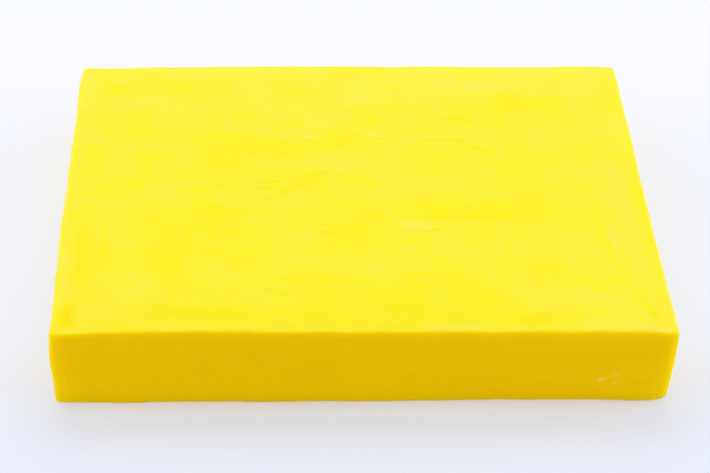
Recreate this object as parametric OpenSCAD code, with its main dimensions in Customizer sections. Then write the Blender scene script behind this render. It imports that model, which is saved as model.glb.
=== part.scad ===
// Bar of detailing clay: one pressed slab, cut to length and laid flat.
// The two pressed faces are level. The four cut walls swell out a little at
// mid-height, turn the corners on a small radius and break softly at both edges.
// Millimetres, +Z up. The origin is the centre of the resting face, +X runs along
// the length and the front wall faces -Y.

/* [Bar] */
// Length of the bar, left to right, over the swell of its end walls
bar_length = 85; // [60:1:120]
// Width of the bar, front to back, over the swell of its long walls
bar_width = 65; // [45:1:90]
// Height of the bar, from the resting face to the working face
bar_height = 12.5; // [10:0.5:20]

/* [Cut walls] */
// How far the middle of a wall swells out past the top and the bottom of its arc
wall_swell = 0.2; // [0.1:0.05:0.4]
// Radius of the upright corners where two walls meet
corner_r = 1; // [0.9:0.1:4]

/* [Edges] */
// Radius of the rim, the edge between a wall and the working face
rim_r = 0.4; // [0.2:0.05:0.5]
// Radius of the foot, the edge between a wall and the resting face
foot_r = 0.5; // [0.2:0.05:0.5]

/* [Hidden] */

clay_yellow = [0.99, 0.87, 0.06];
// Facets of a full circle in the drawn mesh: small roundings, and the wide wall arc
$fn = 96;
swell_facets = 720;

mid_height = bar_height / 2;
// Straight lengths of the bar between the axes of its corners
straight_x = bar_length - 2 * corner_r;
straight_y = bar_width - 2 * corner_r;
// Each corner's place, in signs of X and Y, with the turn that faces its quarter outwards
CORNERS = [[1, 1, 0], [-1, 1, 90], [-1, -1, 180], [1, -1, 270]];

// The wall is one arc over the whole height, with its centre level with the belly.
// Its section is drawn outwards from the corner's axis, at x = 0.
swell_r = (pow(mid_height, 2) + pow(wall_swell, 2)) / (2 * wall_swell);
swell_x = corner_r - swell_r;

// An edge rounding lies inside the wall arc and touches it, and touches a pressed face.
// This is the distance of its centre from the corner's axis.
function rounding_x(r) = swell_x + sqrt(pow(swell_r - r, 2) - pow(mid_height - r, 2));

// Height above or below the belly at which the wall arc runs into an edge rounding
function rounding_meets(r) = swell_r * (mid_height - r) / (swell_r - r);

// Half of the wall's section, from the belly up to a pressed face, with the rounding
// of its edge. It is drawn with the belly at y = 0.
module half_wall_section(edge_r) {
    intersection() {
        translate([swell_x, 0]) circle(swell_r, $fn = swell_facets);
        square([corner_r, rounding_meets(edge_r)]);
    }
    translate([rounding_x(edge_r), mid_height - edge_r]) intersection() {
        circle(edge_r);
        square(edge_r);
    }
    square([rounding_x(edge_r), mid_height]);
}

// Section of a cut wall, from the corner's axis out to the clay's skin
module wall_section() {
    translate([0, mid_height]) {
        half_wall_section(rim_r);
        mirror([0, 1]) half_wall_section(foot_r);
    }
}

// Section of the whole bar across two opposite walls, with a straight part between them
module bar_section(straight) {
    translate([-straight / 2, 0]) square([straight, bar_height]);
    for (side = [0, 1])
        mirror([side, 0]) translate([straight / 2, 0]) wall_section();
}

// The bar's section carried along both directions, and a wall turned through each corner
module clay_bar() {
    color(clay_yellow) union() {
        rotate([90, 0, 0]) linear_extrude(straight_y, center = true) bar_section(straight_x);
        rotate([90, 0, 90]) linear_extrude(straight_x, center = true) bar_section(straight_y);
        for (corner = CORNERS)
            translate([corner.x * straight_x / 2, corner.y * straight_y / 2])
                rotate(corner.z) rotate_extrude(angle = 90) wall_section();
    }
}

clay_bar();
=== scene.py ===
"""Clay bar: the skin, finish and stage of one pressed and cut slab of yellow detailing clay.

The bar is one closed surface, drawn on three grids that share their borders: the working face,
the cut walls carried round it, and the resting face drawn in below. A sharp box is softened into
the bar by formulas for its corners, edges, swelling walls and bowed sides. Flow creases and press
patches are fields over that surface, which move its points and colour its clay, partly with
painted shade and painted sheen. The lemon working face and the golden cut walls are lit and
shaded copies of one clay: painted light and shade. The scuffs of the cut walls are colour alone,
and so are the painted shade in their pits and the painted light at their ends and under the rim.
"""

import bpy
import numpy as np
from bpy.props import FloatProperty, FloatVectorProperty, IntProperty, PointerProperty
from mathutils import Matrix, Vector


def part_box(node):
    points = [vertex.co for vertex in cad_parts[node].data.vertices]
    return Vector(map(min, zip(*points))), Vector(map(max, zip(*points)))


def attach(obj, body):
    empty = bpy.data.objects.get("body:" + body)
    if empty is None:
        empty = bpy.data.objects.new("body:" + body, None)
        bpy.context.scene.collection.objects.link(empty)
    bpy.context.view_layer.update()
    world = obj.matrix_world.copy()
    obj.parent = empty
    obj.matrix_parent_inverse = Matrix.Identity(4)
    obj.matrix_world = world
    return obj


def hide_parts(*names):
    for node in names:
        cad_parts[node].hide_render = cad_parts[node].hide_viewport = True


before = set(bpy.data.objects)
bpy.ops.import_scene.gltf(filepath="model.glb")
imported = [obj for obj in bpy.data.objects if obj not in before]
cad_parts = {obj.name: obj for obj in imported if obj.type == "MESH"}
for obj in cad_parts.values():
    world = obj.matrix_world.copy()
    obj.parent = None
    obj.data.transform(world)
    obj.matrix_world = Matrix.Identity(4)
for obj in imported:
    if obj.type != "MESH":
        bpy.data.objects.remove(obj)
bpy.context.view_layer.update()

bl_info = {
    "name": "Clay Bar",
    "version": (1, 0, 0),
    "blender": (4, 5, 0),
    "location": "View3D > Sidebar > Clay Bar",
    "description": "Forms a bar of detailing clay on its frame, with its finish and its stage",
    "category": "Mesh",
}

MM = 0.001
NODE = "clay_bar"
BODY = "root"

LOW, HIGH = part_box(NODE)
HALF_LENGTH = (HIGH.x - LOW.x) / 2
HALF_WIDTH = (HIGH.y - LOW.y) / 2
HEIGHT = HIGH.z - LOW.z

# Flow creases of the working face, where folds of clay closed up under the press.
# Each is its points in millimetres, the strength of its dark groove and of its pale lip.
# The groove's dark colour is painted shade, and the lip's pale colour a painted highlight.
# The lip is on the left of the run.
FLOW_CREASES = (
    (((-26, 0.5), (-21, 0.8), (-16, 1), (-10.5, 1.8), (-6, 3.2), (-3, 4.1), (0.5, 3.4)), 1.0, 0.4),
    (((-17.5, -4), (-14, -3), (-11.5, -2), (-10, 0), (-8, 1.8)), 0.8, 0.3),
    (((-16, -0.4), (-13.5, 0), (-11, 0.2)), 1.1, 0.2),
    (((13, 12.5), (16, 12), (18, 10.5), (20, 9.8), (22.5, 9.3)), 0.9, 0.6),
    (((21.5, 16.5), (23.5, 15.2), (25.5, 14.3)), 0.7, 0.2),
    (((29, 15), (31, 12.4), (32.5, 9.8)), 0.8, 0.3),
    (((30, 20.5), (31.7, 18), (33, 15)), 0.6, 0.2),
    (((-8, 18), (-4.5, 19.6), (0, 20), (2.5, 21.1), (7, 21.3), (11.5, 20.2)), 0.7, 0.4),
    (((-22.5, 20.5), (-21.5, 23), (-19, 25), (-13.5, 25.8), (-5.5, 26), (12, 25.3)), 0.5, 0.3),
    (((6.5, -10.8), (10, -10.1), (12.5, -9.5), (19.5, -9), (34, -8.6)), 0.6, 0.5),
    (((-5.5, -10.5), (-4.2, -11), (-3, -11.8)), 1.3, 0.3),
    (((-19, -22), (-15, -22.1), (-13, -23.3), (-10.5, -24.2), (-3.5, -25.1)), 0.9, 0.3),
    (((5, -22.3), (12.5, -22.6), (22, -22.8)), 0.6, 0.2),
    (((12.5, -22.6), (15, -24.2), (17, -25.6), (20, -26.1)), 0.9, 0.3),
    (((40.4, -29.5), (39, -27), (37.6, -24)), 1.6, 0.5),
    (((37.6, -24), (36.8, -20), (35.8, -14.5), (34.8, -10), (35, -7)), 0.7, 0.0),
    (((-36, -17), (-36.3, -12), (-36.4, -7.5)), 0.5, 0.2),
    (((-25, -14), (-24.8, -7.5)), 0.6, 0.2),
    (((2, -4.5), (7, -2), (13.5, -1.1), (18.5, -1.4)), 0.5, 0.3),
    (((4.5, 2.4), (10, 3.9), (15, 3.6)), 0.6, 0.4),
    (((23, 3.6), (25, 4.6)), 0.9, 0.2),
    (((-9.3, 15), (-8, 12.7), (-5.5, 11.8), (-3, 12.7), (0, 13.4)), 0.5, 1.0),
    (((0, 13.4), (3.3, 12.7), (9.5, 12.1), (13.3, 12.5)), 0.4, 1.2),
    (((-15.5, 19.6), (-13, 20.5), (-10.5, 20.8)), 0.0, 0.9),
    (((-15, 18.9), (-11.8, 17.7), (-9.3, 18)), 0.0, 1.0),
    (((17.6, 11), (23.3, 10.5), (31.4, 10.4)), 0.3, 0.6),
    (((2.5, -5.8), (3.6, -7.6), (6.4, -8.3)), 0.7, 0.2),
    (((-33, -9), (-29, -8.2), (-24, -7.4)), 0.4, 0.2),
    (((-36, 10.5), (-33, 9.4), (-31, 7.2)), 0.5, 0.2),
)

# Press patches of the working face: centre, half length and half width in millimetres, and tone.
# The clay is deeper in colour where the tone is below nought, and paler where it is above; the
# paler colour is partly a painted sheen.
PRESS_PATCHES = (
    (-13.3, 10.5, 9, 2.3, -0.8), (-19.3, 13, 3, 1.5, -0.9), (-20.2, 6.4, 3.5, 2, -0.8),
    (-18.6, -5.8, 5.5, 1.8, -0.8), (13.3, -5.4, 10, 2.2, -0.7), (26, -6, 3.5, 1.8, -0.5),
    (-24.6, -28.4, 6, 1.5, -0.9), (-9.9, -28.6, 9.5, 1.2, -0.7), (5.8, -27.5, 2.7, 1.2, -1.2),
    (11.7, -29.5, 3, 0.7, -1), (23.3, -29.6, 3.3, 0.8, -1.2), (26.7, -19.8, 2.5, 3, -0.6),
    (-40.35, -28.5, 0.8, 1.8, -2), (-37, 26.4, 2.2, 2.6, -0.8), (-31.8, 19.3, 4, 1.3, -0.5),
    (-31.4, 4.9, 1.8, 4.5, -0.5), (-1.5, 12.3, 3.5, 1.3, -0.7), (23, 4.9, 6, 1.5, -0.5),
    (-0.5, -10, 3, 2, -0.5), (-27, -17, 2, 6, -0.5), (27, 21.5, 7, 4, -0.5),
    (-36.4, -12.5, 0.5, 3.5, -0.5), (40.8, 27, 1.2, 4.5, -0.8), (41.4, -1, 0.9, 5.5, -0.7),
    (41.6, -11, 0.7, 2, -0.6), (40, -28.7, 0.6, 1.2, -0.8), (18.3, -25.8, 5, 0.8, -0.5),
    (15.9, 17.6, 1, 0.4, -3.2), (-39.5, -12, 1.6, 12, -0.45), (4, -31.5, 3, 0.8, -0.8),
    (-29, 27.3, 4, 1.5, -0.4), (2, 30.5, 5, 1.5, -0.5), (-30.3, 7.8, 1.6, 1.2, -0.6),
    (-32.8, 0.5, 2.4, 0.8, -0.6), (-39.1, -11.2, 0.7, 2.5, -0.6), (-40.3, -20.5, 0.9, 0.8, -0.8),
    (-38.5, -23.9, 1, 1, -0.5),
    (20.8, 26.5, 6, 1.8, 1.1), (-3, 6.4, 10, 2.2, 0.5), (1.7, 23.3, 5, 1.8, 0.5),
    (-4.9, -17.6, 6, 1.3, 0.6), (8, -8.9, 2.8, 1, 1.2), (-31.4, -20.4, 2, 4, 0.5),
    (12.3, -15, 2.8, 2, 0.4), (-29.3, 23, 5, 1.3, 0.5), (32, -25.8, 2.5, 1.5, 0.5),
    (-6.4, 14.9, 2.3, 2.5, 0.4), (13.3, -31.1, 4, 0.6, 0.9), (36.4, -12.5, 0.8, 4.5, 1.4),
    (38.5, 2, 2, 12, 0.4), (0, 29, 30, 2, 0.3), (-22, 5, 1.2, 1, 0.6), (-35.9, 27.8, 0.4, 1.1, 1.6),
    (13.6, 20, 0.5, 0.5, 1.6), (3.2, -18.4, 0.4, 0.4, 2.2), (0.8, 14.9, 0.4, 0.9, 1.6),
    (-11.4, -5.3, 1.8, 0.8, 0.5), (-41.3, -18.5, 1, 5.5, 1), (36, -31, 7, 1.3, 0.8),
    (31, -25.5, 10, 4, 0.35), (-41, 28.5, 1.5, 2, 0.6), (36, 27, 6, 4, 0.35), (38.9, -10, 1.1, 12, 0.6),
    (36.1, -1.8, 0.45, 0.45, 1.8), (40.6, -31.6, 1.3, 0.5, 1.2), (-39.6, -31.3, 2.2, 0.8, 0.8),
    (-39, 29.8, 2.5, 1.2, 0.45), (-36.5, -28.8, 2.5, 2, 0.45), (41.6, -30, 0.6, 0.9, 0.9),
)

# Cut walls, each with its turn from the front wall in degrees and its distance from the middle
WALLS = {"front": (0, HALF_WIDTH), "right": (90, HALF_LENGTH), "back": (180, HALF_WIDTH),
         "left": (270, HALF_LENGTH)}

# Marks of the cut walls: centre along the wall, to the right as it is faced, and up Z, half length
# and half height in millimetres, tilt in degrees, and strength. Scuffs are dry and pale. The dark
# marks are painted shade, in pits, thin creases and the gap under the foot.
WALL_SCUFFS = {
    "front": (
        (32.6, 4, 0.65, 0.28, 14, 0.36), (33.6, 4.45, 0.6, 0.14, 25, 0.12),
        (34.5, 4.8, 0.45, 0.24, 25, 0.26), (34.7, 3.2, 0.55, 0.25, -25, 0.19),
        (34.2, 5.8, 0.3, 0.15, 60, 0.08), (27, 3.4, 0.5, 0.5, 0, 0.05),
        (-17.4, 8.3, 0.4, 0.3, -20, 0.08), (-40.1, 8.7, 0.7, 0.6, 0, 0.025),
        (19.5, 11.6, 0.35, 0.25, 0, 0.09), (-17.8, 0.5, 0.16, 0.16, 0, 0.7),
        (-16.7, 0.3, 0.12, 0.3, 0, 0.9), (-7.1, 0.2, 0.12, 0.18, 0, 0.6),
        (1.5, 0.15, 0.16, 0.16, 0, 0.6),
    ),
    "right": ((-19, 7.6, 0.6, 0.25, 20, 0.16), (11.5, 3.1, 0.45, 0.3, -15, 0.12)),
    "back": ((-24, 5.2, 0.7, 0.25, -12, 0.18), (-22.9, 5.9, 0.4, 0.18, 30, 0.12),
             (15, 9.1, 0.4, 0.35, 0, 0.08)),
    "left": ((8, 5.5, 0.5, 0.3, 35, 0.14), (-21, 9.4, 0.35, 0.25, 0, 0.08)),
}
WALL_SHADE_MARKS = {
    "front": (
        (-33.9, 3.3, 0.18, 0.4, 0, 0.24), (6.4, 4.9, 0.16, 0.35, 20, 0.35),
        (3.2, 4.1, 0.2, 0.22, 0, 0.15), (9.3, 9.2, 0.2, 0.2, 0, 0.15), (-22, 7, 0.25, 0.25, 0, 0.12),
        (-28.2, 3.3, 1.6, 0.13, 87, 0.13), (-17.9, 7.9, 0.7, 0.12, 84, 0.2),
        (38, 3.35, 2, 0.13, 0, 0.15), (-40.5, 6, 1.2, 0.13, 84, 0.13), (-40, 3.3, 1.8, 0.14, -74, 0.18),
        (-3, 11.4, 1.1, 0.11, -14, 0.2), (-14.6, 0.2, 3, 0.14, 0, 0.9),
    ),
    "right": ((-9, 4, 0.18, 0.35, 10, 0.3), (22, 8.2, 0.22, 0.22, 0, 0.18),
              (4, 9.6, 1.3, 0.12, -8, 0.16)),
    "back": ((30, 4.2, 0.18, 0.35, -15, 0.3), (3, 6.6, 0.22, 0.22, 0, 0.15),
             (-12, 3, 1.6, 0.12, 84, 0.14), (21, 10.6, 1.3, 0.11, 10, 0.18)),
    "left": ((-12, 3.4, 0.18, 0.38, 0, 0.28), (17, 8.8, 0.22, 0.2, 0, 0.16),
             (-2, 7.2, 1.5, 0.12, 80, 0.14)),
}

# How far in from the foot each ring of the resting face lies, in millimetres
FOOT_RINGS = (0.06, 0.14, 0.22, 0.3, 1.0, 8.0, 24.0)

# Courses of the cut walls, as bell curves: the centre along the wall, the half width, and how far the
# wall stands out of line there, in millimetres
BACK_COURSE = ((-37.5, 4, -0.2), (-15, 9, 0.15), (-3, 4, 0.12), (6.5, 3, -0.06), (13, 3, 0.1),
               (23, 4, -0.13), (37.5, 4, 0.22))
LEFT_COURSE = ((27, 4, 0.17), (13, 8, -0.05), (0, 3.5, -0.14), (-11, 3, 0.05), (-15, 6, -0.1),
               (-26, 5.5, -0.18))
RIGHT_COURSE = ((29, 4, 0.1), (14, 6, 0.04), (9.4, 1.1, -0.11), (3.2, 2, -0.14), (-5.8, 2, 0.12),
                (-8, 9, -0.2), (-21.5, 2.5, -0.08), (-24, 6, -0.05), (-29, 3, 0.06))
FRONT_RIM_COURSE = ((-39, 4, 0.16), (-21, 6, -0.17), (-12, 3, 0.1), (-2.5, 3.5, 0.12), (6.5, 2.5, 0.12),
                    (12, 35, -0.09), (18, 2.5, 0.16), (22, 2, -0.04), (28, 2.5, 0.12), (37.5, 4, 0.05),
                    (43, 4, 0.45))
FRONT_FOOT_COURSE = ((-33, 5, 0.2), (-14, 4, 0.15), (0, 8, 0.12), (20, 8, -0.1), (38.5, 3, 0.24),
                     (42.6, 1.6, -0.35))
# The same up the end walls, with each centre's height
LEFT_BELLY = ((7.4, 2.6, 0.2), (4, 1.5, -0.03))
RIGHT_BELLY = ((10.8, 1.6, 0.05), (7.3, 3, 0.15))

# Small waves along every cut edge: wave length in millimetres, phase in turns, and share
EDGE_WAVES = ((11.3, 0.15, 0.4), (6.1, 0.62, 0.35), (3.4, 0.31, 0.25))
# Small waves that make the creases and patches wander, in the same terms, and how far they sway
WANDER = ((9.7, 0.2, 0.4), (5.3, 0.71, 0.35), (2.6, 0.44, 0.25))
CREASE_SWAY, PATCH_SWAY = 0.3 * MM, 0.5 * MM

# A crease comes and goes about a mean strength. It is broader where it runs across the bar, and
# its lip has a place, a width and a height of its own, in widths and depths of the groove.
CREASE_MEAN, CREASE_CHANGE = 0.75, 0.5
ACROSS_BROADER = 0.6
LIP_PLACE, LIP_WIDTH, LIP_HEIGHT = 1.7, 1.1, 0.5

# Bands along the sides of the working face: the side, how far in a band lies and its half width in
# millimetres, its strength, and how much stronger it is on the right of the bar. The first make the
# clay paler, partly with a painted sheen and a thin painted highlight along the front rim, or deeper
# where they are below nought. The second thin the pressed skin towards the golden wall colour:
# painted shade along the rim, most of all at the front and the left.
PALE_SHEEN_BANDS = (("left", 0, 2.5, 0.5, 0), ("right", 0, 3, 0.25, 0), ("back", 0, 4, 0.3, 0),
              ("rim", 0.5, 0.35, 0.2, 0), ("front", 0.65, 0.35, 0.8, 0.9), ("front", 0, 0.36, -4, 0))
SHADE_BANDS = (("front", 0, 1.6, 0.16, 0), ("back", 0, 1.2, 0.03, 0), ("left", 0, 1.2, 0.07, 0),
              ("right", 0, 1.2, 0.05, 0), ("front", 0, 9, 0.05, 0), ("left", 0, 8, 0.02, 0))
# Painted shade near the front left corner, as spots that thin the pressed skin, in the terms of the
# press patches but measured from it
SHADE_SPOTS = ((0, 0, 14, 14, 0.04), (2.15, 4, 0.65, 2, 0.26))
# The left of the bar passes into its right between these places along X, and its middle into its
# ends between these distances from the middle
LEFT_TO_RIGHT = (-15 * MM, 10 * MM)
MIDDLE_TO_END = (31 * MM, 38 * MM)

# What patches, bands, grooves, lips and the front of the bar add to the working face's tone. The
# grooves add painted shade, the lips a painted highlight, and the front a painted shade that
# deepens towards the front rim.
PATCH_TONE, BAND_TONE, GROOVE_SHADE_TONE, LIP_HIGHLIGHT_TONE, FRONT_SHADE_TONE = 0.28, 0.22, -0.45, 0.4, -0.13

# The rim turns from wall to pressed skin, and from the shaded golden colour to the lit lemon one,
# between two upward shares of its direction
SKIN_ENDS, SKIN_STARTS = 0.25, 0.55
FRONT_SKIN_ENDS, FRONT_SKIN_STARTS = 0.56, 0.97

# Painted light on the cut walls: its share at the rim and its reach at the rim and the foot near an
# end of the bar, the half width of the line at the corner, and its share and reach under the rim
END_SHARE, END_REACH, END_FOOT_REACH = 0.65, 1.4 * MM, 2.2 * MM
CORNER_LINE = 0.22 * MM
UNDER_RIM_SHARE, UNDER_RIM_REACH = 0.2, 0.9 * MM

# Noises of the clay: features per metre along X, Y and Z, and detail. All have the same mean.
NOISES = {
    "clouds": ((120, 170, 200), 5.0),
    "blots": ((480, 540, 500), 4.0),
    "folds": ((75, 950, 500), 2.0),
    "along": ((600, 1300, 1500), 3.0),
    "across": ((1400, 450, 1500), 3.0),
    "drag": ((110, 110, 2200), 3.0),
    "blush": ((90, 90, 480), 3.0),
    "speckle": ((2500, 2500, 2500), 4.0),
    "grain": ((3500, 3500, 3500), 4.0),
}
NOISE_MEAN = 0.5
# The tone of the pressed faces and of the cut walls, and what the noises add to each
PRESSED_TONE = 0.29
PRESSED_SHARES = {"clouds": 0.6, "blots": 0.5, "folds": -1.1, "streaks": 0.28}
CUT_TONE = 0.3
CUT_SHARES = {"drag": 0.6, "blush": 0.8}
# How softly the pressed tone stops at its deepest, and the height where the cut tone stops falling
TONE_SOFTNESS = 0.2
EVEN_HEIGHT = 8.5 * MM
# A fold shows where its noise is above a level, and less so at the ends. Its line sways across the
# bar with a noise of its own, given in features per metre.
FOLD_LEVEL, END_FOLDS = 0.57, 0.1
FOLD_SWAY_SCALE, FOLD_SWAY = 90, (0, 4 * MM, 0)
# Scuffs are bare below one level of the speckle and whole above another
SPECKLE_BARE, SPECKLE_WHOLE = 1 / 6, 1 / 2
# How deep a wall mark reaches in, and its outer edge in half sizes
MARK_DEPTH = 2 * MM
MARK_EDGE = 1.4
# How much the streaks roughen the clay, and the grain's share of the bump beside them
STREAK_ROUGHNESS, GRAIN_SHARE = 0.25, 0.6

# The floor: half its side, how far it lies below the bar so that the two don't meet, and how
# brightly it glows near the bar
FLOOR_HALF, FLOOR_DROP, FLOOR_BRIGHT = 1.5, 0.02 * MM, 1.1
# Places along Y between which it passes from near to far, and from ahead of the bar to beside it,
# and distances from the bar between which it passes into the backdrop
NEAR_TO_FAR = (-55.6 * MM, 55.6 * MM)
AHEAD_TO_BESIDE = (-38 * MM, -18 * MM)
INTO_BACKDROP = (66.7 * MM, 233.3 * MM)
# The painted contact shadow where the bar touches it reaches so far out, and ends so far short of
# the bar's ends
TOUCH_REACH, TOUCH_INSET = 2.4 * MM, 2.5 * MM
# The painted bounce light beside the bar reaches so far out
SIDE_REACH = 14 * MM

# Soft lamps that face the bar: place and size in metres, and the setting that holds the power
LAMPS = {
    "behind": ((0, 0.35, 0.5), (0.6, 0.4), "back_power"),
    "overhead": ((0, 0.03, 0.55), (0.8, 0.55), "top_power"),
    "left": ((-0.6, 0, 0.25), (0.6, 0.6), "side_power"),
    "right": ((0.6, 0, 0.25), (0.6, 0.6), "side_power"),
    "front": ((0.1, -0.7, 0.15), (0.7, 0.2), "front_power"),
}


def number(name, description, default, **kind):
    """A setting that is one number, with its unit or its limits."""
    return FloatProperty(name=name, description=description, default=default, **kind)


def size(name, description, millimetres):
    """A setting that is a length, with its default in millimetres."""
    return number(name, description, millimetres * MM, unit="LENGTH", precision=5)


def fraction(name, description, default):
    """A setting that is a share between none and all."""
    return number(name, description, default, subtype="FACTOR", min=0, max=1)


def tint(name, description, *colour):
    """A setting that is a colour, with its default in red, green and blue."""
    return FloatVectorProperty(name=name, description=description, default=colour,
                               subtype="COLOR", min=0, max=1)


class ClayShape(bpy.types.PropertyGroup):
    """Sizes of the bar's soft form."""

    front_left: size("Front left corner", "Radius of the front left corner", 0.8)
    front_right: size("Front right corner", "Radius of the front right corner", 1.1)
    back_left: size("Back left corner", "Radius of the back left corner", 0.7)
    back_right: size("Back right corner", "Radius of the back right corner", 0.9)
    left_foot: size("Left foot corner", "Radius of the left corners at the foot", 0.6)
    right_foot: size("Right foot corner", "Radius of the right corners at the foot", 1.0)
    corner_swell: size("Corner swell", "How much wider the upright corners are at mid-height", 0.4)
    rim: size("Rim radius", "Radius of the working face's edge at the back and the ends", 0.4)
    front_rim: size("Front rim radius", "Radius of the working face's edge at the front", 0.65)
    right_rim: size("Right rim softening", "How much wider the rim is at the front right corner", 0.35)
    right_rim_reach: size("Right rim reach", "How far the right rim's softening reaches", 6)
    foot: size("Foot radius", "Radius of the edge round the resting face", 0.3)
    rim_draw: size("Rim draw", "How far the swelling walls draw in at the rim", 0.11)
    foot_draw: size("Foot draw", "How far the front and back walls draw in at the foot", 0.08)
    end_foot_draw: size("End foot draw", "How far the end walls draw in at the foot", 0.27)
    face_lean: size("Face lean", "How far the front rim rises at its left end and falls at its right", 0.12)
    back_skew: size("Back skew", "How far the back wall's ends stand out of square", 0.3)
    back_bow: size("Back bow", "How far the back wall bows out along its length", 0.3)
    end_bow: size("End bow", "How far the left end wall bows out across the width", 0.2)
    shoulder_width: size("Shoulder width", "Width of the border where the working face rolls off", 3)
    shoulder_drop: size("Shoulder drop", "How far the working face has rolled off at the rim", 0.05)
    corner_sag: size("Corner sag", "How far the front left corner of the working face sags", 0.4)
    corner_sag_reach: size("Corner sag reach", "How far the corner's sag reaches", 5)
    crease_depth: size("Crease depth", "Depth of a flow crease of strength 1", 0.025)
    crease_width: size("Crease width", "Half width of a flow crease", 0.22)
    patch_rise: size("Patch rise", "How far a press patch of tone 1 stands up", 0.02)
    edge_wave: size("Edge wave", "Height of the small waves along the rim and the foot", 0.06)
    length_step: size("Length step", "Spacing of the face's grid along the length", 0.45)
    width_step: size("Width step", "Spacing of the face's grid across the width", 0.25)
    wall_step: size("Wall step", "Spacing of the rows on the cut walls", 0.9)
    border: size("Border", "Width of the close-set grid along every edge", 1.4)
    border_steps: IntProperty(name="Border steps", description="Grid steps across the border", default=12)


class ClayFinish(bpy.types.PropertyGroup):
    """Colours and surface of the clay."""

    # The lemon pressed colours and the golden cut colours are lit and shaded copies of one clay: painted
    # light and shade. The blue of the pale pressed colour is partly a painted sheen.
    pressed_deep: tint("Pressed deep", "Deeper colour of the pressed faces", 0.925, 0.81, 0.0)
    pressed_pale_sheen: tint("Pressed pale", "Paler colour of the pressed faces", 0.925, 0.83, 0.13)
    cut_deep: tint("Cut deep", "Deeper colour of the cut walls", 0.89, 0.553, 0.0)
    cut_pale: tint("Cut pale", "Paler colour of the cut walls", 0.94, 0.598, 0.0)
    # Painted light on the cut walls, at the bar's ends and under the rim
    cut_painted_light: tint("Cut end", "Palest colour of the cut walls, at the bar's ends and under the rim",
                  1.0, 0.68, 0.0)
    scuff: tint("Scuff", "Colour of dry scuffed clay", 0.95, 0.78, 0.30)
    # The pit colour is painted shade, in pits, thin creases and the gap under the foot
    pit: tint("Pit", "Colour down in a small pit of a cut wall", 0.72, 0.40, 0.0)
    pressed_roughness: fraction("Pressed roughness", "Roughness of the pressed faces", 0.46)
    cut_roughness: fraction("Cut roughness", "Roughness of the cut walls", 0.62)
    coat: fraction("Coat", "How much the pressed faces shine over their colour", 0.15)
    scatter_depth: size("Scatter depth", "How deep light runs under the skin", 2)
    grain_depth: size("Grain depth", "Depth of the clay's fine grain", 0.03)


class StageLook(bpy.types.PropertyGroup):
    """Camera, light and floor."""

    lens: number("Lens", "Focal length on a sensor 36 mm wide", 99.28, unit="CAMERA")
    camera_place: FloatVectorProperty(
        name="Camera place", description="Where the camera stands",
        default=(-0.01307, -0.23011, 0.18443), subtype="TRANSLATION", unit="LENGTH")
    camera_pitch: number("Camera pitch", "How far the camera looks down", 0.66577, unit="ROTATION")
    camera_yaw: number("Camera yaw", "How far the camera looks to the right", 0.05619, unit="ROTATION")
    camera_roll: number("Camera roll", "How far the camera leans to the left", 0.03351, unit="ROTATION")
    # The near floor colour is darker with a painted shadow that the bar casts forward
    floor_near_shade: tint("Floor near", "Colour of the floor in front of the bar", 0.765, 0.805, 0.935)
    floor_far: tint("Floor far", "Colour of the floor behind the bar", 0.87, 0.885, 0.94)
    # Painted warm contact shadow and yellow bounce light where the bar touches the floor
    floor_contact_shadow: tint("Floor touch", "Tint of the floor where the bar touches it", 1.0, 0.9, 0.78)
    # Painted yellow bounce light on the floor beside the bar
    floor_side_bounce: tint("Floor side", "Tint of the floor beside the bar", 1.0, 0.985, 0.935)
    backdrop_colour: tint("Backdrop colour", "Colour of the backdrop as the camera sees it",
                          0.94, 0.955, 0.99)
    floor_glow: fraction("Floor glow", "How much the camera sees the floor as lit evenly", 0.3)
    side_glow: fraction("Side glow", "How much more it does so beside and behind the bar", 0.4)
    sky_strength: number("Sky strength", "Light that reaches the bar from all round", 0.48, min=0)
    back_power: number("Back power", "Power of the soft lamp behind", 1.1, unit="POWER")
    top_power: number("Top power", "Power of the soft lamp overhead", 0.5, unit="POWER")
    side_power: number("Side power", "Power of each soft lamp at the ends", 1.7, unit="POWER")
    front_power: number("Front power", "Power of the low lamp in front", 0.81, unit="POWER")


def swelling(distance, width):
    """A bell curve of height 1: the exponential of minus the square of distance over width."""
    return np.exp(-(distance / width) ** 2)


def eased(value, start=0, end=1):
    """0 up to the start, 1 past the end, and a smooth S between: three squares less two cubes."""
    share = np.clip((value - start) / (end - start), 0, 1)
    return share * share * (3 - 2 * share)


def waves(along, pattern):
    """Sum of sines along an edge, each with its wave length, phase and share."""
    return sum(share * np.sin(2 * np.pi * (along / (length * MM) + phase))
               for length, phase, share in pattern)


def wandering(x, y, sway):
    """Places shifted along X by small waves of Y, and along Y by the same waves of X."""
    return x + sway * waves(y, WANDER), y + sway * waves(x, WANDER)


def course(along, bells):
    """Sum of bell curves along a wall, each with its centre, half width and height."""
    return sum(height * MM * swelling(along - centre * MM, width * MM)
               for centre, width, height in bells)


def spots(x, y, table):
    """Sum of bell curves over ellipses along X and Y, each with its centre, half sizes and strength."""
    total = np.zeros_like(x)
    for centre_x, centre_y, half_length, half_width, strength in table:
        across = np.hypot((x - centre_x * MM) / half_length, (y - centre_y * MM) / half_width)
        total += strength * swelling(across, MM)
    return total


def side_steps(half, border, border_steps, step, power=1.6):
    """Places along a side from -half to half: even steps, with close ones in both borders.

    The close steps shrink towards the edge, as the border's width times a power of the count.
    """
    close = half - border * np.linspace(1, 0, border_steps + 1) ** power
    count = round(2 * (half - border) / step)
    middle = np.linspace(border - half, half - border, count + 1)[1:-1]
    return np.concatenate([-close[::-1], middle, close])


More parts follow.
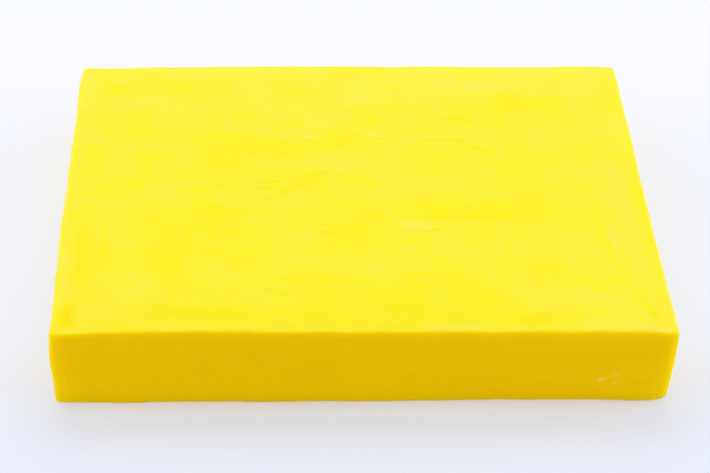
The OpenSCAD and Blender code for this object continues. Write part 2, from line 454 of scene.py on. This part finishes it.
def smooth_line(points, per_span=16):
    """Points along a Catmull-Rom curve through the given ones, with the run's direction and share.

    Each span is a cubic whose slope at a point is half the step between the point's neighbours.
    """
    held = np.array([points[0], *points, points[-1]], float) * MM
    t = np.linspace(0, 1, per_span, endpoint=False)[:, None]
    a, b, c, d = (held[i:len(held) - 3 + i, None] for i in range(4))
    line = b + t * (c - a) / 2 + t ** 2 * (2 * a - 5 * b + 4 * c - d) / 2
    line = line + t ** 3 * (3 * b - 3 * c + d - a) / 2
    line = np.concatenate([line.reshape(-1, 2), held[-1:]])
    run = np.gradient(line, axis=0)
    run /= np.linalg.norm(run, axis=1, keepdims=True)
    return line, run, np.linspace(0, 1, len(line))


def crease_field(x, y, width):
    """Grooves and lips of all flow creases at points of the working face.

    A groove is a bell curve of the distance to the crease's line, and its lip is another one
    beside it. Both fade out towards the line's ends as the square root of a half sine, and come
    and go along it. Lines across the bar are broader. The points are first shifted by small
    waves, so that every line wanders.
    """
    x, y = wandering(x, y, CREASE_SWAY)
    come_and_go = CREASE_MEAN + CREASE_CHANGE * waves(x + 2 * y, WANDER)
    groove, lip = np.zeros_like(x), np.zeros_like(x)
    reach = 5 * width
    for points, depth, height in FLOW_CREASES:
        line, run, share = smooth_line(points)
        low, high = line.min(0) - reach, line.max(0) + reach
        near = np.flatnonzero((x > low[0]) & (x < high[0]) & (y > low[1]) & (y < high[1]))
        gap_x = x[near, None] - line[:, 0]
        gap_y = y[near, None] - line[:, 1]
        nearest = np.argmin(gap_x ** 2 + gap_y ** 2, axis=1)
        pick = np.arange(len(near)), nearest
        gap = np.hypot(gap_x[pick], gap_y[pick])
        left = run[nearest, 0] * gap_y[pick] - run[nearest, 1] * gap_x[pick]
        past_end = np.sqrt((gap ** 2 - left ** 2).clip(0))
        broad = width * (1 + ACROSS_BROADER * abs(run[nearest, 1]))
        fade = come_and_go[near] * np.sqrt(np.sin(np.pi * share[nearest]).clip(0))
        groove[near] = np.maximum(groove[near], depth * fade * swelling(gap, broad))
        beside = np.hypot(left - LIP_PLACE * broad, past_end)
        lip[near] = np.maximum(lip[near], height * fade * swelling(beside, LIP_WIDTH * broad))
    return groove, lip


def bands(x, y, table):
    """Sum of bell curves of the distance from a side or from the whole rim."""
    gaps = {"front": HALF_WIDTH + y, "back": HALF_WIDTH - y,
            "left": HALF_LENGTH + x, "right": HALF_LENGTH - x}
    gaps["rim"] = np.minimum.reduce(list(gaps.values()))
    rightward = eased(x, *LEFT_TO_RIGHT)
    return sum((strength + more * rightward) * swelling(gaps[side] - inset * MM, width * MM)
               for side, inset, width, strength, more in table)


def painted_wall_light_field(x, z):
    """Painted light on the cut walls: near the bar's ends, and just under the rim.

    Near an end it is a bell curve of the distance, stronger and wider towards the foot, and a thin
    one that fades towards the foot. Under the rim it is a bell curve of the depth, twice as strong
    on the right.
    """
    to_end = HALF_LENGTH - abs(x)
    low = 1 - z / HEIGHT
    reach = END_REACH + (END_FOOT_REACH - END_REACH) * low
    broad = (END_SHARE + (1 - END_SHARE) * low) * swelling(to_end, reach)
    thin = (1 - END_SHARE) * (1 - low) * swelling(to_end, CORNER_LINE)
    rightward = eased(x, *LEFT_TO_RIGHT)
    under_rim = UNDER_RIM_SHARE * (1 + rightward) * swelling(HEIGHT - z, UNDER_RIM_REACH)
    return broad + thin + under_rim


def soften_box(x, y, z, shape):
    """Rounds a sharp box's corners and edges, and says how much of each point is pressed skin.

    Near a corner the square rings about its axis become circles: a point keeps its largest
    offset as its radius. The corners swell with the product of the heights from foot and rim, and
    turn to their radius at the foot with the sixth power of the depth below the rim. Near the rim
    and the foot the same is done in the plane through the wall's outward direction and Z. The skin
    ends where the front rim begins to turn down, and wraps well over the other edges.
    """
    back, right = y > 0, x > 0
    corner = np.where(back, np.where(right, shape.back_right, shape.back_left),
                      np.where(right, shape.front_right, shape.front_left))
    level = z / HEIGHT
    at_foot = np.where(right, shape.right_foot, shape.left_foot)
    corner = corner + (at_foot - corner) * (1 - level) ** 6
    corner = corner + shape.corner_swell * 4 * level * (1 - level)
    axis_x = np.clip(x, corner - HALF_LENGTH, HALF_LENGTH - corner)
    axis_y = np.clip(y, corner - HALF_WIDTH, HALF_WIDTH - corner)
    out_x, out_y = x - axis_x, y - axis_y
    radius = np.maximum(abs(out_x), abs(out_y))
    length = np.hypot(out_x, out_y)
    length = np.where(length > 0, length, 1)
    out_x, out_y = out_x / length, out_y / length

    upper = z > HEIGHT / 2
    faces_front = eased(-out_y) * upper
    rim = shape.rim + (shape.front_rim - shape.rim) * faces_front
    right_gap = np.hypot(HALF_LENGTH - x, HALF_WIDTH + y)
    rim = rim + shape.right_rim * swelling(right_gap, shape.right_rim_reach)
    edge = np.where(upper, rim, shape.foot)
    outward = (edge - corner + radius).clip(0)
    towards_face = np.where(upper, z - HEIGHT + edge, edge - z).clip(0)
    diagonal = np.hypot(outward, towards_face)
    diagonal = np.where(diagonal > 0, diagonal, 1)
    shrink = np.maximum(outward, towards_face) / diagonal
    shrink = np.where(shrink > 0, shrink, 1)
    radius = radius - outward * (1 - shrink)
    z = z - np.where(upper, 1, -1) * towards_face * (1 - shrink)
    upward = towards_face / diagonal
    skin_ends = SKIN_ENDS + (FRONT_SKIN_ENDS - SKIN_ENDS) * faces_front
    skin_starts = SKIN_STARTS + (FRONT_SKIN_STARTS - SKIN_STARTS) * faces_front
    pressed = np.clip((upward - skin_ends) / (skin_starts - skin_ends), 0, 1)
    return axis_x + out_x * radius, axis_y + out_y * radius, z, pressed


def form_bar(x, y, z, shape):
    """Places of the bar's skin for points of a sharp box, with their share of pressed skin.

    The softened box draws in at the rim and the foot with the square of the height from the
    middle, and bows with the square of the place along a side. Each wall then follows its course,
    with small waves along its edges, and the end walls follow their bellies. The working face
    leans to the right towards its front, rolls off at the shoulder with the square of the depth
    into it, and sags at the front left corner as a bell curve of the distance.
    """
    skin_x, skin_y, skin_z, pressed = soften_box(x, y, z, shape)
    along_x, along_y = x / HALF_LENGTH, y / HALF_WIDTH
    level = skin_z / HEIGHT
    top = eased(level, 0.5, 1)
    foot = (1 - level) ** 3
    from_belly = (2 * level - 1) ** 2
    upper = level > 0.5
    skin_x = skin_x - along_x * from_belly * np.where(upper, shape.rim_draw, shape.end_foot_draw)
    skin_y = skin_y - along_y * from_belly * np.where(upper, shape.rim_draw, shape.foot_draw)

    behind, ahead = ((1 + along_y) / 2) ** 2, ((1 - along_y) / 2) ** 2
    at_right, at_left = ((1 + along_x) / 2) ** 2, ((1 - along_x) / 2) ** 2
    back = shape.back_bow * (1 - along_x ** 2) + shape.back_skew * along_x
    left = shape.end_bow * (1 - along_y ** 2)
    front = top * course(x, FRONT_RIM_COURSE) + foot * course(x, FRONT_FOOT_COURSE)
    ripple = shape.edge_wave * (top + foot)
    skin_y = skin_y + behind * (back + course(x, BACK_COURSE)) - ahead * front
    skin_y = skin_y + along_y * ripple * waves(x, EDGE_WAVES)
    skin_x = skin_x + at_right * course(y, RIGHT_COURSE) - at_left * (left + course(y, LEFT_COURSE))
    skin_x = skin_x + at_right * course(skin_z, RIGHT_BELLY) - at_left * course(skin_z, LEFT_BELLY)
    skin_x = skin_x + along_x * ripple * waves(y, EDGE_WAVES)

    into_x = (1 - (HALF_LENGTH - abs(x)) / shape.shoulder_width).clip(0) ** 2
    into_y = (1 - (HALF_WIDTH - abs(y)) / shape.shoulder_width).clip(0) ** 2
    roll_off = 1 - (1 - into_x) * (1 - into_y)
    corner_gap = np.hypot(x + HALF_LENGTH, y + HALF_WIDTH)
    rise = -shape.face_lean * along_x * (1 - along_y) / 2
    rise = rise - shape.shoulder_drop * roll_off
    rise = rise - shape.corner_sag * swelling(corner_gap, shape.corner_sag_reach)
    return skin_x, skin_y, skin_z + top * rise, pressed


def ring_of(grid):
    """Indices round the border of a grid, once round from its first corner along its first row."""
    return np.concatenate([grid[0, :-1], grid[:-1, -1], grid[-1, :0:-1], grid[:0:-1, 0]])


def band_faces(rows):
    """Quads between each ring of indices and the next one below it, closed round the ring."""
    upper, lower = rows[:-1], rows[1:]
    quads = [upper, lower, np.roll(lower, -1, 1), np.roll(upper, -1, 1)]
    return np.stack(quads, -1).reshape(-1, 4)


def grid_faces(grid):
    """Quads of a grid of indices, counter-clockwise seen from above."""
    quads = [grid[:-1, :-1], grid[:-1, 1:], grid[1:, 1:], grid[1:, :-1]]
    return np.stack(quads, -1).reshape(-1, 4)


def box_grids(shape):
    """Points and faces of a sharp box, drawn as three grids that share their borders.

    The working face is a grid of rows along X. The walls carry the grid's border down in level
    rings, and the resting face draws the lowest ring in towards its middle, where a fan of
    triangles closes it.
    """
    across = side_steps(HALF_LENGTH, shape.border, shape.border_steps, shape.length_step)
    deep = side_steps(HALF_WIDTH, shape.border, shape.border_steps, shape.width_step)
    up = side_steps(HEIGHT / 2, shape.border, shape.border_steps, shape.wall_step)
    face_x, face_y = np.meshgrid(across, deep)
    face = np.arange(face_x.size).reshape(face_x.shape)
    ring = ring_of(face)
    ring_x, ring_y = face_x.ravel()[ring], face_y.ravel()[ring]

    level = HEIGHT / 2 + up[-2::-1]
    drawn_in = np.array(FOOT_RINGS) * MM
    ring_z = np.concatenate([level, np.zeros(len(drawn_in))])[:, None]
    inset = np.concatenate([np.zeros(len(level)), drawn_in])[:, None]
    below_x = ring_x * (1 - inset / HALF_LENGTH)
    below_y = ring_y * (1 - inset / HALF_WIDTH)
    below_z = np.broadcast_to(ring_z, below_x.shape)

    x = np.concatenate([face_x.ravel(), below_x.ravel(), [0]])
    y = np.concatenate([face_y.ravel(), below_y.ravel(), [0]])
    z = np.concatenate([np.full(face.size, HEIGHT), below_z.ravel(), [0]])
    rings = face.size + np.arange(below_x.size).reshape(below_x.shape)
    rings = np.concatenate([ring[None], rings])
    quads = np.concatenate([grid_faces(face), band_faces(rings)])
    last = rings[-1]
    fan = np.stack([np.full(last.size, len(x) - 1), np.roll(last, -1), last], -1)
    return x, y, z, face.size, quads, fan


def bar_surface(shape):
    """Places, faces and fields of the bar's whole skin.

    The creases and patches lie on the working face alone. They move it up and down, and their sum
    with the bands is the tone of its clay, partly painted shade and sheen, which deepens with painted
    shade towards the front. Bands and spots of painted shade thin its pressed skin.
    """
    x, y, z, face_count, quads, fan = box_grids(shape)
    skin_x, skin_y, skin_z, pressed = form_bar(x, y, z, shape)
    on_face = np.arange(len(x)) < face_count
    groove, lip = np.zeros_like(x), np.zeros_like(x)
    groove[on_face], lip[on_face] = crease_field(x[on_face], y[on_face], shape.crease_width)
    patch = np.where(on_face, spots(*wandering(x, y, PATCH_SWAY), PRESS_PATCHES), 0)
    skin_z = skin_z - shape.crease_depth * (groove - LIP_HEIGHT * lip) + shape.patch_rise * patch
    tone = PATCH_TONE * patch + BAND_TONE * bands(x, y, PALE_SHEEN_BANDS) + GROOVE_SHADE_TONE * groove
    tone = tone + LIP_HIGHLIGHT_TONE * lip + FRONT_SHADE_TONE * (1 - y / HALF_WIDTH) / 2
    # Painted shade: bands and spots that thin the pressed skin towards the golden wall colour
    painted_shade = bands(x, y, SHADE_BANDS) + spots(x + HALF_LENGTH, y + HALF_WIDTH, SHADE_SPOTS)
    places = np.stack([skin_x, skin_y, skin_z], -1)
    faces = quads.tolist() + fan.tolist()
    fields = {
        "pressed": pressed * (1 - painted_shade),
        "tone": tone,
        "at_end": eased(abs(x), *MIDDLE_TO_END),
        "pale_cut": painted_wall_light_field(x, z),
    }
    return places, faces, fields


def add_object(name, data):
    """Puts a mesh, a lamp or a camera into the scene."""
    thing = bpy.data.objects.new(name, data)
    bpy.context.scene.collection.objects.link(thing)
    return thing


def add_piece(name, places, faces, fields, material):
    """Puts a surface into a mesh object that rides on the bar's body."""
    mesh = bpy.data.meshes.new(name)
    mesh.from_pydata(places, [], faces)
    for field, values in fields.items():
        stored = mesh.attributes.new(field, "FLOAT", "POINT")
        stored.data.foreach_set("value", np.asarray(values, np.float32))
    mesh.shade_smooth()
    mesh.materials.append(material)
    if mesh.validate():
        raise RuntimeError(f"{name} has faces that don't join up")
    piece = add_object(name, mesh)
    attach(piece, BODY)
    return piece


class ClayNodes:
    """The node tree of a material or of the sky, with short calls for the nodes that they share."""

    def __init__(self, owner):
        owner.use_nodes = True
        self.tree = owner.node_tree

    def add(self, kind, **inputs):
        """A new node with its inputs set or linked by name."""
        return self.dress(self.tree.nodes.new(kind), **inputs)

    def dress(self, node, **inputs):
        """Sets or links a node's inputs by name, with a low line for each space."""
        for name, value in inputs.items():
            self.put(node.inputs[name.replace("_", " ")], value)
        return node

    def put(self, socket, value):
        """Links a socket to an output, or sets its value, with full alpha for a colour."""
        if isinstance(value, bpy.types.NodeSocket):
            self.tree.links.new(value, socket)
        elif socket.type == "RGBA":
            socket.default_value = (*value, 1.0)
        else:
            socket.default_value = value

    def field(self, name):
        """A field that is stored on the piece's points."""
        node = self.tree.nodes.new("ShaderNodeAttribute")
        node.attribute_name = name
        return node.outputs["Fac"]

    def place(self):
        """Places in the piece's own space."""
        return self.tree.nodes.new("ShaderNodeTexCoord").outputs["Object"]

    def axis(self, name):
        """One coordinate of the places in the piece's own space."""
        return self.add("ShaderNodeSeparateXYZ", Vector=self.place()).outputs[name]

    def noise(self, name, place=None):
        """One of the clay's noises, in the piece's own space or at other places."""
        scale, detail = NOISES[name]
        mapped = self.add("ShaderNodeMapping", Vector=place or self.place(), Scale=scale)
        node = self.add("ShaderNodeTexNoise", Vector=mapped.outputs["Vector"], Scale=1.0,
                        Detail=detail, Roughness=0.55)
        return node.outputs["Fac"]

    def math(self, operation, *values, clamp=False):
        """One sum of numbers or outputs."""
        node = self.tree.nodes.new("ShaderNodeMath")
        node.operation = operation
        node.use_clamp = clamp
        for socket, value in zip(node.inputs, values):
            self.put(socket, value)
        return node.outputs["Value"]

    def ramp(self, value, start, end):
        """0 at the start, 1 at the end, a straight line between, and level beyond."""
        slope = 1 / (end - start)
        return self.math("MULTIPLY_ADD", value, slope, -start * slope, clamp=True)

    def vector(self, operation, *values):
        """One sum of vectors, as its node."""
        node = self.tree.nodes.new("ShaderNodeVectorMath")
        node.operation = operation
        for socket, value in zip(node.inputs, values):
            self.put(socket, value)
        return node

    def blend(self, share, first, second, mode="MIX"):
        """A colour between two others, or one coloured by the other."""
        node = self.tree.nodes.new("ShaderNodeMix")
        node.data_type = "RGBA"
        node.blend_type = mode
        colours = [s for s in node.inputs if s.type == "RGBA"]
        self.put(node.inputs["Factor"], share)
        self.put(colours[0], first)
        self.put(colours[1], second)
        return next(s for s in node.outputs if s.type == "RGBA")

    def ray(self, name):
        """1 where the light's path is of one kind, and 0 elsewhere."""
        return self.tree.nodes.new("ShaderNodeLightPath").outputs[name]

    def show(self, share, first, second):
        """Puts out one shader, with a share of another over it."""
        mix = self.add("ShaderNodeMixShader", Fac=share)
        self.put(mix.inputs[1], first)
        self.put(mix.inputs[2], second)
        self.put(self.tree.get_output_node("ALL").inputs["Surface"], mix.outputs["Shader"])


def wall_marks(nodes, marks):
    """Share of a mark on the cut walls, from the strongest of some soft tilted ellipses."""
    place = nodes.place()
    found = 0.0
    for wall, (turn, out) in WALLS.items():
        turn = np.radians(turn)
        for along, up, half_length, half_height, tilt, strength in marks[wall]:
            along = along * MM
            centre_x = along * np.cos(turn) + out * np.sin(turn)
            centre_y = along * np.sin(turn) - out * np.cos(turn)
            mapped = nodes.add("ShaderNodeMapping", Vector=place,
                               Location=(centre_x, centre_y, up * MM),
                               Rotation=(0, -np.radians(tilt), turn),
                               Scale=(half_length * MM, MARK_DEPTH, half_height * MM))
            mapped.vector_type = "TEXTURE"
            gap = nodes.vector("LENGTH", mapped.outputs["Vector"]).outputs["Value"]
            share = nodes.math("SUBTRACT", MARK_EDGE, gap, clamp=True)
            share = nodes.math("MULTIPLY", share, strength)
            found = nodes.math("MAXIMUM", share, found)
    return found


def press_streaks(nodes):
    """Fine streaks of the press, about nought: along the bar, and across it at its ends."""
    streaks = nodes.add("ShaderNodeMix", Factor=nodes.field("at_end"),
                        A=nodes.noise("along"), B=nodes.noise("across"))
    return nodes.math("SUBTRACT", streaks.outputs["Result"], NOISE_MEAN)


def press_folds(nodes):
    """Thin folds along the bar, where a drawn-out noise stands above a level, fewer at the ends."""
    place = nodes.place()
    drift = nodes.add("ShaderNodeTexNoise", Vector=place, Scale=FOLD_SWAY_SCALE, Detail=2.0)
    swaying = nodes.vector("MULTIPLY_ADD", drift.outputs["Color"], FOLD_SWAY, place)
    folds = nodes.math("SUBTRACT", nodes.noise("folds", swaying.outputs["Vector"]), FOLD_LEVEL)
    folds = nodes.math("MAXIMUM", folds, 0.0)
    inside = nodes.math("MULTIPLY_ADD", nodes.field("at_end"), END_FOLDS - 1, 1.0)
    return nodes.math("MULTIPLY", folds, inside)


def pressed_colour(nodes, finish, streaks):
    """Lemon clay, the lit copy of the clay, paler and deeper with the stored tone, clouds, blots, folds
    and streaks; its paler colour is partly a painted sheen.
    """
    parts = {"folds": press_folds(nodes), "streaks": streaks}
    for name in ("clouds", "blots"):
        parts[name] = nodes.math("SUBTRACT", nodes.noise(name), NOISE_MEAN)
    tone = nodes.math("ADD", nodes.field("tone"), PRESSED_TONE)
    for name, share in PRESSED_SHARES.items():
        tone = nodes.math("MULTIPLY_ADD", parts[name], share, tone)
    tone = nodes.math("SMOOTH_MAX", tone, 0.0, TONE_SOFTNESS, clamp=True)
    return nodes.blend(tone, finish.pressed_deep, finish.pressed_pale_sheen)


def cut_colour(nodes, finish):
    """Golden clay, the shaded copy, deeper up the wall, dragged by the cut, with painted light at the
    ends and under the rim, and painted shade in pits.
    """
    height = nodes.math("MINIMUM", nodes.axis("Z"), EVEN_HEIGHT)
    tone = nodes.math("MULTIPLY_ADD", height, -1 / HEIGHT, CUT_TONE)
    for name, share in CUT_SHARES.items():
        tone = nodes.math("MULTIPLY_ADD", nodes.noise(name), share, tone)
    golden = nodes.blend(tone, finish.cut_deep, finish.cut_pale)
    golden = nodes.blend(nodes.field("pale_cut"), golden, finish.cut_painted_light)
    return nodes.blend(wall_marks(nodes, WALL_SHADE_MARKS), golden, finish.pit)


def clay_finish(finish):
    """Yellow clay: lemon pressed faces with press streaks, and deeper golden cut walls, which are lit
    and shaded copies of one clay.
    """
    material = bpy.data.materials.new("yellow_clay")
    nodes = ClayNodes(material)
    pressed = nodes.field("pressed")
    streaks = press_streaks(nodes)
    colour = nodes.blend(pressed, cut_colour(nodes, finish), pressed_colour(nodes, finish, streaks))
    speckle = nodes.ramp(nodes.noise("speckle"), SPECKLE_BARE, SPECKLE_WHOLE)
    scuffs = nodes.math("MULTIPLY", wall_marks(nodes, WALL_SCUFFS), speckle)
    colour = nodes.blend(scuffs, colour, finish.scuff)

    smoother = finish.pressed_roughness - finish.cut_roughness
    roughness = nodes.math("MULTIPLY_ADD", pressed, smoother, finish.cut_roughness)
    roughness = nodes.math("MULTIPLY_ADD", streaks, STREAK_ROUGHNESS, roughness)
    grain = nodes.math("MULTIPLY_ADD", nodes.noise("grain"), GRAIN_SHARE, streaks)
    bump = nodes.add("ShaderNodeBump", Height=grain, Strength=0.25, Distance=finish.grain_depth)
    coat = nodes.math("MULTIPLY", pressed, finish.coat)
    nodes.dress(nodes.tree.nodes["Principled BSDF"], Base_Color=colour, Roughness=roughness,
                Normal=bump.outputs["Normal"], Coat_Weight=coat, Coat_Roughness=0.4,
                Specular_IOR_Level=0.02, Subsurface_Weight=0.5, Subsurface_Radius=(1.0, 0.7, 0.1),
                Subsurface_Scale=finish.scatter_depth)
    return material


def distance_past(nodes, half_length):
    """How far a place of the floor lies outside a rectangle as wide as the bar."""
    past = nodes.vector("ABSOLUTE", nodes.place()).outputs["Vector"]
    past = nodes.vector("SUBTRACT", past, (half_length, HALF_WIDTH, 0)).outputs["Vector"]
    past = nodes.vector("MAXIMUM", past, (0, 0, 0)).outputs["Vector"]
    return nodes.vector("LENGTH", past).outputs["Value"]


def floor_finish(look):
    """A pale floor, with a painted warm contact shadow where the bar touches it, painted yellow bounce
    light beside the bar, and painted shade ahead of it.

    The camera sees part of it as an even glow, which is stronger beside and behind the bar and
    passes into the backdrop far from it.
    """
    material = bpy.data.materials.new("pale_floor")
    nodes = ClayNodes(material)
    along_y = nodes.axis("Y")
    beyond = distance_past(nodes, HALF_LENGTH)
    shade = nodes.blend(nodes.ramp(along_y, *NEAR_TO_FAR), look.floor_near_shade, look.floor_far)
    touch = nodes.ramp(distance_past(nodes, HALF_LENGTH - TOUCH_INSET), TOUCH_REACH, 0)
    touch = nodes.math("MULTIPLY", touch, touch)
    shade = nodes.blend(touch, shade, look.floor_contact_shadow, mode="MULTIPLY")
    aside = nodes.ramp(along_y, *AHEAD_TO_BESIDE)
    beside = nodes.math("MULTIPLY", nodes.ramp(beyond, SIDE_REACH, 0), aside)
    shade = nodes.blend(beside, shade, look.floor_side_bounce, mode="MULTIPLY")
    surface = nodes.dress(nodes.tree.nodes["Principled BSDF"], Base_Color=shade, Roughness=0.8,
                          Specular_IOR_Level=0.1)

    far = nodes.ramp(beyond, *INTO_BACKDROP)
    far_shade = nodes.blend(far, shade, look.backdrop_colour)
    strength = nodes.math("MULTIPLY_ADD", far, 1 - FLOOR_BRIGHT, FLOOR_BRIGHT)
    glow = nodes.add("ShaderNodeEmission", Color=far_shade, Strength=strength)
    glowing = nodes.math("MULTIPLY_ADD", aside, look.side_glow, look.floor_glow)
    glowing = nodes.math("MAXIMUM", glowing, far)
    seen = nodes.math("MULTIPLY", nodes.ray("Is Camera Ray"), glowing)
    nodes.show(seen, surface.outputs["BSDF"], glow.outputs["Emission"])
    return material


class CLAYBAR_OT_form_bar(bpy.types.Operator):
    """Form the bar's skin on its frame, with its creases, patches and scuffs"""

    bl_idname = "claybar.form_bar"
    bl_label = "Form the bar"

    def execute(self, context):
        places, faces, fields = bar_surface(context.scene.clay_shape)
        material = clay_finish(context.scene.clay_finish)
        piece = add_piece("clay_bar_skin", places, faces, fields, material)
        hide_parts(NODE)
        return {"FINISHED"}


class CLAYBAR_OT_set_stage(bpy.types.Operator):
    """Set the floor, the light and the camera"""

    bl_idname = "claybar.set_stage"
    bl_label = "Set the stage"

    def execute(self, context):
        look = context.scene.stage_look
        self.lay_floor(look)
        self.light_sky(look)
        for name, (place, sides, setting) in LAMPS.items():
            self.hang_lamp(name, place, sides, getattr(look, setting))
        self.place_camera(look)
        context.scene.view_settings.view_transform = "Standard"
        return {"FINISHED"}

    def lay_floor(self, look):
        """A level floor just under the bar, far wider than the view."""
        signs = ((-1, -1), (1, -1), (1, 1), (-1, 1))
        corners = [(x * FLOOR_HALF, y * FLOOR_HALF, -FLOOR_DROP) for x, y in signs]
        mesh = bpy.data.meshes.new("floor")
        mesh.from_pydata(corners, [], [(0, 1, 2, 3)])
        mesh.materials.append(floor_finish(look))
        floor = add_object("floor", mesh)

    def light_sky(self, look):
        """An even white sky, which the camera and shiny surfaces see as the backdrop."""
        world = bpy.data.worlds.new("studio")
        bpy.context.scene.world = world
        nodes = ClayNodes(world)
        sky = nodes.dress(nodes.tree.nodes["Background"], Color=(1, 1, 1), Strength=look.sky_strength)
        seen = nodes.add("ShaderNodeBackground", Color=look.backdrop_colour)
        either = nodes.math("MAXIMUM", nodes.ray("Is Camera Ray"), nodes.ray("Is Glossy Ray"))
        nodes.show(either, sky.outputs["Background"], seen.outputs["Background"])

    def hang_lamp(self, name, place, sides, watts):
        """A broad rectangular lamp that faces the bar."""
        lamp = bpy.data.lights.new(name, "AREA")
        lamp.shape = "RECTANGLE"
        lamp.size, lamp.size_y = sides
        lamp.energy = watts
        holder = add_object(name, lamp)
        holder.location = place
        holder.rotation_euler = (-holder.location).to_track_quat("-Z", "Y").to_euler()

    def place_camera(self, look):
        """Looks along +Y, turned by the yaw, the pitch and the roll in that order."""
        data = bpy.data.cameras.new("camera")
        data.lens = look.lens
        data.sensor_width = 36.0
        data.sensor_fit = "HORIZONTAL"
        data.clip_start = 0.01
        camera = add_object("camera", data)
        turn = (Matrix.Rotation(-look.camera_yaw, 4, "Z")
                @ Matrix.Rotation(np.pi / 2 - look.camera_pitch, 4, "X")
                @ Matrix.Rotation(look.camera_roll, 4, "Z"))
        camera.matrix_world = Matrix.Translation(look.camera_place) @ turn
        bpy.context.scene.camera = camera


class CLAYBAR_PT_panel(bpy.types.Panel):
    """Lists the operators and their settings"""

    bl_idname = "CLAYBAR_PT_panel"
    bl_label = "Clay Bar"
    bl_space_type = "VIEW_3D"
    bl_region_type = "UI"
    bl_category = "Clay Bar"

    def draw(self, context):
        for operator in OPERATORS:
            self.layout.operator(operator.bl_idname)
        for name, group in GROUPS.items():
            for setting in group.__annotations__:
                self.layout.prop(getattr(context.scene, name), setting)


GROUPS = {"clay_shape": ClayShape, "clay_finish": ClayFinish, "stage_look": StageLook}
OPERATORS = (CLAYBAR_OT_form_bar, CLAYBAR_OT_set_stage)
CLASSES = (*GROUPS.values(), *OPERATORS, CLAYBAR_PT_panel)


def register():
    for cls in CLASSES:
        bpy.utils.register_class(cls)
    for name, group in GROUPS.items():
        setattr(bpy.types.Scene, name, PointerProperty(type=group))


def unregister():
    for name in GROUPS:
        delattr(bpy.types.Scene, name)
    for cls in reversed(CLASSES):
        bpy.utils.unregister_class(cls)


def main():
    """Builds the bar and its stage."""
    register()
    bpy.ops.claybar.form_bar()
    bpy.ops.claybar.set_stage()


if __name__ == "__main__":
    main()
